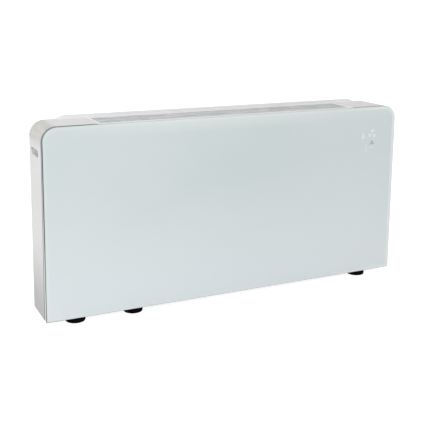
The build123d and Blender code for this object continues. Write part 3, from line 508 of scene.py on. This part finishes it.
M["pcb"] = m_pcb("pcb_green")
M["module"] = m_plastic("module_black", (0.03, 0.03, 0.032), 0.35)
M["relay"] = m_plastic("relay_blue", (0.03, 0.09, 0.26), 0.30)
M["capacitor"] = m_metal("capacitor_sleeve", (0.05, 0.06, 0.09), 0.25, (1, 30, 1), 300.0, 0.85, 0.0)
M["connector"] = m_plastic("connector_ivory", (0.70, 0.68, 0.60), 0.36)
M["chip"] = m_plastic("chip_black", (0.018, 0.018, 0.02), 0.30)

ASSIGN = {
    "glass_bond_tape": "tape", "panel_tray": "tray", "panel_insulation": "foam", "panel_hangers": "galv",
    "touch_module": "module", "left_side_cap": "cap", "right_side_cap": "cap", "left_grip_cup": "cup",
    "right_grip_cup": "cup", "cap_edge_seals": "seal", "back_plate": "galv", "rear_top_rail": "rail",
    "base_tray": "galv", "left_bulkhead": "galv_dark", "right_bulkhead": "galv_dark", "hanger_studs": "zinc",
    "front_baffle": "galv_dark", "front_top_rail": "tray", "grille_frame": "rim", "grille_bars": "bars",
    "filter_frame": "filter", "filter_mesh": "weave", "filter_rails": "galv", "rubber_feet": "foot",
    "foot_screws": "zinc", "coil_fins": "fin", "coil_end_plates": "galv_dark", "coil_tubes": "copper",
    "flow_header": "copper_v", "return_header": "copper_v", "riser_pipes": "copper_v", "flow_valve_body": "brass",
    "return_valve_body": "brass", "compression_nuts": "brass", "flow_valve_lever": "red", "return_valve_cap": "grey_cap",
    "air_vent_body": "brass", "air_vent_screw": "steel", "water_sensor": "steel", "sensor_clip": "steel",
    "fan_impeller": "blade", "stub_shaft": "steel", "impeller_hubs": "blade", "bearing_bush": "bronze",
    "bearing_holder": "galv_dark", "fan_rear_scroll": "galv_dark", "fan_tongue": "galv_dark", "motor_housing": "motor",
    "motor_stator": "lam", "motor_rotor": "magnet", "motor_shaft": "steel", "motor_mount_rubbers": "rubber",
    "control_box": "box", "control_box_lid": "lid", "control_pcb": "pcb", "mains_terminal_block": "term",
    "cable_gland": "gland", "motor_lead": "lead", "casing_screws": "zinc", "front_glass": "glass",
}


def set_material(obj, *mats):
    obj.data.materials.clear()
    for mt in mats:
        obj.data.materials.append(mt)
    for p in obj.data.polygons:
        p.material_index = 0


for name, obj in NODES.items():
    set_material(obj, M[ASSIGN[name]])
    obj.data.shade_smooth()
    obj.data.set_sharp_from_angle(angle=math.radians(28))


def faces_where(node, test, mat):
    """Gives the faces of a CAD node whose centre passes test another material."""
    o = NODES[node]
    o.data.materials.append(mat)
    k = len(o.data.materials) - 1
    for p in o.data.polygons:
        c = p.center
        if test(c.x * 1000, c.y * 1000, c.z * 1000, p.normal):
            p.material_index = k


# electronics: parts of one board in their own finishes
faces_where("control_pcb", lambda x, y, z, n: y < 11.9 and 435.5 < x < 462.5 and z > 369, M["relay"])
faces_where("control_pcb", lambda x, y, z, n: y < 11.9 and 469.5 < x < 486.5 and z > 369, M["chip"])
faces_where("control_pcb", lambda x, y, z, n: y < 11.9 and x > 490 and z > 370, M["capacitor"])
faces_where("control_pcb", lambda x, y, z, n: y < 11.9 and z < 334, M["connector"])
faces_where("control_pcb", lambda x, y, z, n: y < 11.9 and 449 < x < 471 and 344 < z < 363, M["chip"])
faces_where("control_pcb", lambda x, y, z, n: y > 13.7, M["connector"])
faces_where("touch_module", lambda x, y, z, n: y < -58.9 and n.y < -0.5, M["pcb"])
faces_where("touch_module", lambda x, y, z, n: y > -52.1 and z < 404.5 and 447.5 < x < 474.5, M["connector"])

# =====================================================================
# new pieces
# =====================================================================
rng = random.Random(7)


def new_object(name, bm, mats, body, smooth=28.0, replaces=()):
    me = bpy.data.meshes.new(name)
    bm.normal_update()
    bm.to_mesh(me)
    bm.free()
    o = bpy.data.objects.new(name, me)
    scene.collection.objects.link(o)
    for mt in mats:
        me.materials.append(mt)
    me.shade_smooth()
    me.set_sharp_from_angle(angle=math.radians(smooth))
    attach(o, body)
    if replaces:
        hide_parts(*replaces)
    return o


HX, Z0, Z1, RC = 551.5, 17.5, 536.5, 40.0


def outline(inset, y, seg=28):
    """Points of the panel outline, counter-clockwise seen from the front, in millimetres."""
    h, lo, hi, r = HX - inset, Z0 + inset, Z1 - inset, RC - inset
    pts = [(-h, y, lo), (h, y, lo)]
    for k in range(seg + 1):
        a = math.radians(90.0 * k / seg)
        pts.append((h - r + r * math.cos(a), y, hi - r + r * math.sin(a)))
    for k in range(seg + 1):
        a = math.radians(90.0 + 90.0 * k / seg)
        pts.append((-h + r + r * math.cos(a), y, hi - r + r * math.sin(a)))
    return pts


# --- touch symbols, printed behind the glass: drop, fan, triangle, bars -------
ICONS = []


def icon(kind, pts):
    ICONS.append((kind, pts))


def circle_pts(cx, cz, r, n=20, a0=0.0, a1=360.0):
    full = abs(a1 - a0) >= 359.9
    k = n if full else n + 1
    return [(cx + r * math.cos(math.radians(a0 + (a1 - a0) * i / n)),
             cz + r * math.sin(math.radians(a0 + (a1 - a0) * i / n))) for i in range(k)]


def drop_pts(cx, cz, r, tail):
    pts = circle_pts(cx, cz, r, 18, -205.0, 25.0)
    return pts + [(cx + r * 0.42, cz + r + tail * 0.35), (cx, cz + r + tail), (cx - r * 0.42, cz + r + tail * 0.35)]


icon(0, drop_pts(435.8, 442.4, 4.8, 15.5))
for k in range(3):
    # swept blade: straight-ish leading edge, full trailing edge, narrow root
    lead = [(-8.0 - 34.0 * math.sin(math.radians(80.0 * i / 6)), 3.6 + 11.2 * i / 6) for i in range(7)]
    trail = [(30.0 * math.sin(math.radians(165.0 * i / 8)) - 6.0 * i / 8, 15.2 - 11.4 * i / 8) for i in range(9)]
    pts = []
    for dt, rr in lead + trail:
        a = math.radians(90 + 120 * k + dt)
        pts.append((468.6 + rr * math.cos(a), 452.6 + rr * math.sin(a)))
    icon(0, pts)
icon(0, circle_pts(468.6, 452.6, 2.3, 16))
icon(2, [(458.4, 420.0), (478.0, 420.0), (468.2, 435.4)])
icon(1, [(458.8, 408.6), (478.4, 408.6), (478.4, 413.8), (458.8, 413.8)])
icon(1, [(444.6, 396.5), (451.4, 396.5), (451.4, 418.5), (444.6, 418.5)])


def build_glass():
    inset = 0.6
    front = outline(inset, -66.0)
    vin = [Vector((p[0], p[2])) for p in front]
    edges, faces = [], [list(range(len(front)))]
    kinds = ["pane"]
    for kind, pts in ICONS:
        base = len(vin)
        vin += [Vector(p) for p in pts]
        ids = list(range(base, base + len(pts)))
        area = sum(pts[i][0] * pts[(i + 1) % len(pts)][1] - pts[(i + 1) % len(pts)][0] * pts[i][1] for i in range(len(pts)))
        faces.append(ids if area > 0 else ids[::-1])
        kinds.append(kind)
    verts, eds, fcs, ov, oe, of_ = delaunay_2d_cdt(vin, edges, faces, 1, 1e-4)
    bm = bmesh.new()
    vs = [bm.verts.new((v.x * MM, -66.0 * MM, v.y * MM)) for v in verts]
    index_of = {}
    for i, o in enumerate(ov):
        for k in o:
            index_of[k] = vs[i]
    for f, o in zip(fcs, of_):
        fc = bm.faces.new([vs[i] for i in f])
        kind = max(o) if o else 0
        fc.material_index = 0 if kinds[kind] == "pane" else 2 + kinds[kind]
    ring0 = [index_of[i] for i in range(len(front))]
    rings = [(0.18, -65.82), (0.0, -65.4), (0.0, -62.4), (0.4, -62.0)]
    prev = ring0
    for ins, y in rings:
        cur = [bm.verts.new((p[0] * MM, p[1] * MM, p[2] * MM)) for p in outline(ins, y)]
        for i in range(len(cur)):
            j = (i + 1) % len(cur)
            fc = bm.faces.new([prev[i], prev[j], cur[j], cur[i]])
            fc.material_index = 1
        prev = cur
    back = bm.faces.new(prev[::-1])
    back.material_index = 0
    bmesh.ops.recalc_face_normals(bm, faces=bm.faces)
    return new_object("front_glass_pane", bm, [M["glass"], M["glass_edge"], M["icon_light"], M["icon_soft"], M["icon_dark"]],
                      "front_panel", 20.0, ["front_glass"])


build_glass()


# --- woven filter medium ----------------------------------------------
def build_weave():
    lo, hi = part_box("filter_mesh")
    bm = bmesh.new()
    r = 0.00022
    zc = (lo.z + hi.z) / 2
    x0, x1, y0, y1 = lo.x + 0.0005, hi.x - 0.0005, lo.y + 0.0005, hi.y - 0.0005
    pitch = 0.0022
    nx, ny = int((x1 - x0) / pitch), int((y1 - y0) / pitch)

    def strand(pts, side):
        ring = []
        for p in pts:
            row = [bm.verts.new(p + side * r), bm.verts.new(p + Vector((0, 0, r))), bm.verts.new(p - side * r),
                   bm.verts.new(p - Vector((0, 0, r)))]
            ring.append(row)
        for a, b in zip(ring, ring[1:]):
            for k in range(4):
                bm.faces.new([a[k], a[(k + 1) % 4], b[(k + 1) % 4], b[k]])
        bm.faces.new(ring[0][::-1])
        bm.faces.new(ring[-1])

    for i in range(nx + 1):
        x = x0 + (x1 - x0) * i / nx
        pts = []
        for j in range(0, ny + 1):
            y = y0 + (y1 - y0) * j / ny
            s = 1 if (i + j) % 2 else -1
            pts.append(Vector((x, y, zc + s * r * 0.8)))
        strand(pts, Vector((1, 0, 0)))
    for j in range(ny + 1):
        y = y0 + (y1 - y0) * j / ny
        pts = []
        for i in range(0, nx + 1):
            x = x0 + (x1 - x0) * i / nx
            s = -1 if (i + j) % 2 else 1
            pts.append(Vector((x, y, zc + s * r * 0.8)))
        strand(pts, Vector((0, 1, 0)))
    return new_object("filter_weave", bm, [M["weave"]], "filter", 40.0, ["filter_mesh"])


build_weave()

# =====================================================================
# set: pale floor, soft studio light
# =====================================================================
bm = bmesh.new()
S = 90.0
for x, y in ((-S, -S), (S, -S), (S, S), (-S, S)):
    bm.verts.new((x, y, -0.0002))
bm.verts.ensure_lookup_table()
bm.faces.new(bm.verts[:])
me = bpy.data.meshes.new("studio_floor")
bm.to_mesh(me)
bm.free()
floor = bpy.data.objects.new("studio_floor", me)
scene.collection.objects.link(floor)
t = Tree("floor_white")
n = t.noise(3.0, 2.0, 0.5)
col = t.ramp(n, [(0.3, grey(0.47)), (0.7, grey(0.49))])
p = t.node("ShaderNodeBsdfPrincipled", {"Base Color": col, "Roughness": 0.9, "Emission Color": (1, 1, 1, 1),
                                        "Emission Strength": 0.90, "Specular IOR Level": 0.1})
low = t.node("ShaderNodeBsdfDiffuse", {"Color": grey(0.80)})
seen = t.node("ShaderNodeLightPath").outputs["Is Camera Ray"]
both = t.node("ShaderNodeMixShader", {0: seen, 1: low.outputs[0], 2: p.outputs[0]})
# open from below, so that the underside can be looked at
under = t.node("ShaderNodeNewGeometry").outputs["Backfacing"]
clear = t.node("ShaderNodeBsdfTransparent")
side = t.node("ShaderNodeMixShader", {0: under, 1: both.outputs[0], 2: clear.outputs[0]})
t.nt.links.new(side.outputs[0], t.out.inputs[0])
me.materials.append(t.mat)

world = bpy.data.worlds.new("studio")
scene.world = world
world.use_nodes = True
bg = world.node_tree.nodes.get("Background")
bg.inputs[0].default_value = (1.0, 1.0, 1.0, 1.0)
bg.inputs[1].default_value = 0.68


def area(name, loc, target, size, power, color=(1, 1, 1), size_y=None):
    d = bpy.data.lights.new(name, "AREA")
    d.shape = "RECTANGLE" if size_y else "SQUARE"
    d.size = size
    if size_y:
        d.size_y = size_y
    d.energy = power
    d.color = color
    o = bpy.data.objects.new(name, d)
    scene.collection.objects.link(o)
    o.location = loc
    o.rotation_mode = "QUATERNION"
    o.rotation_quaternion = (Vector(target) - Vector(loc)).to_track_quat("-Z", "Y")
    o.visible_glossy = False          # no square highlight mirrored in the flat glass
    return o


area("key_left", (-3.2, -3.0, 2.6), (-0.3, 0.0, 0.3), 2.6, 104.0, (1.0, 0.995, 0.985))
area("back", (0.4, 3.4, 2.4), (0.0, 0.0, 0.4), 2.4, 6.0)

scene.view_settings.view_transform = "Standard"
scene.view_settings.look = "None"
scene.view_settings.exposure = 0.0
scene.view_settings.gamma = 1.0
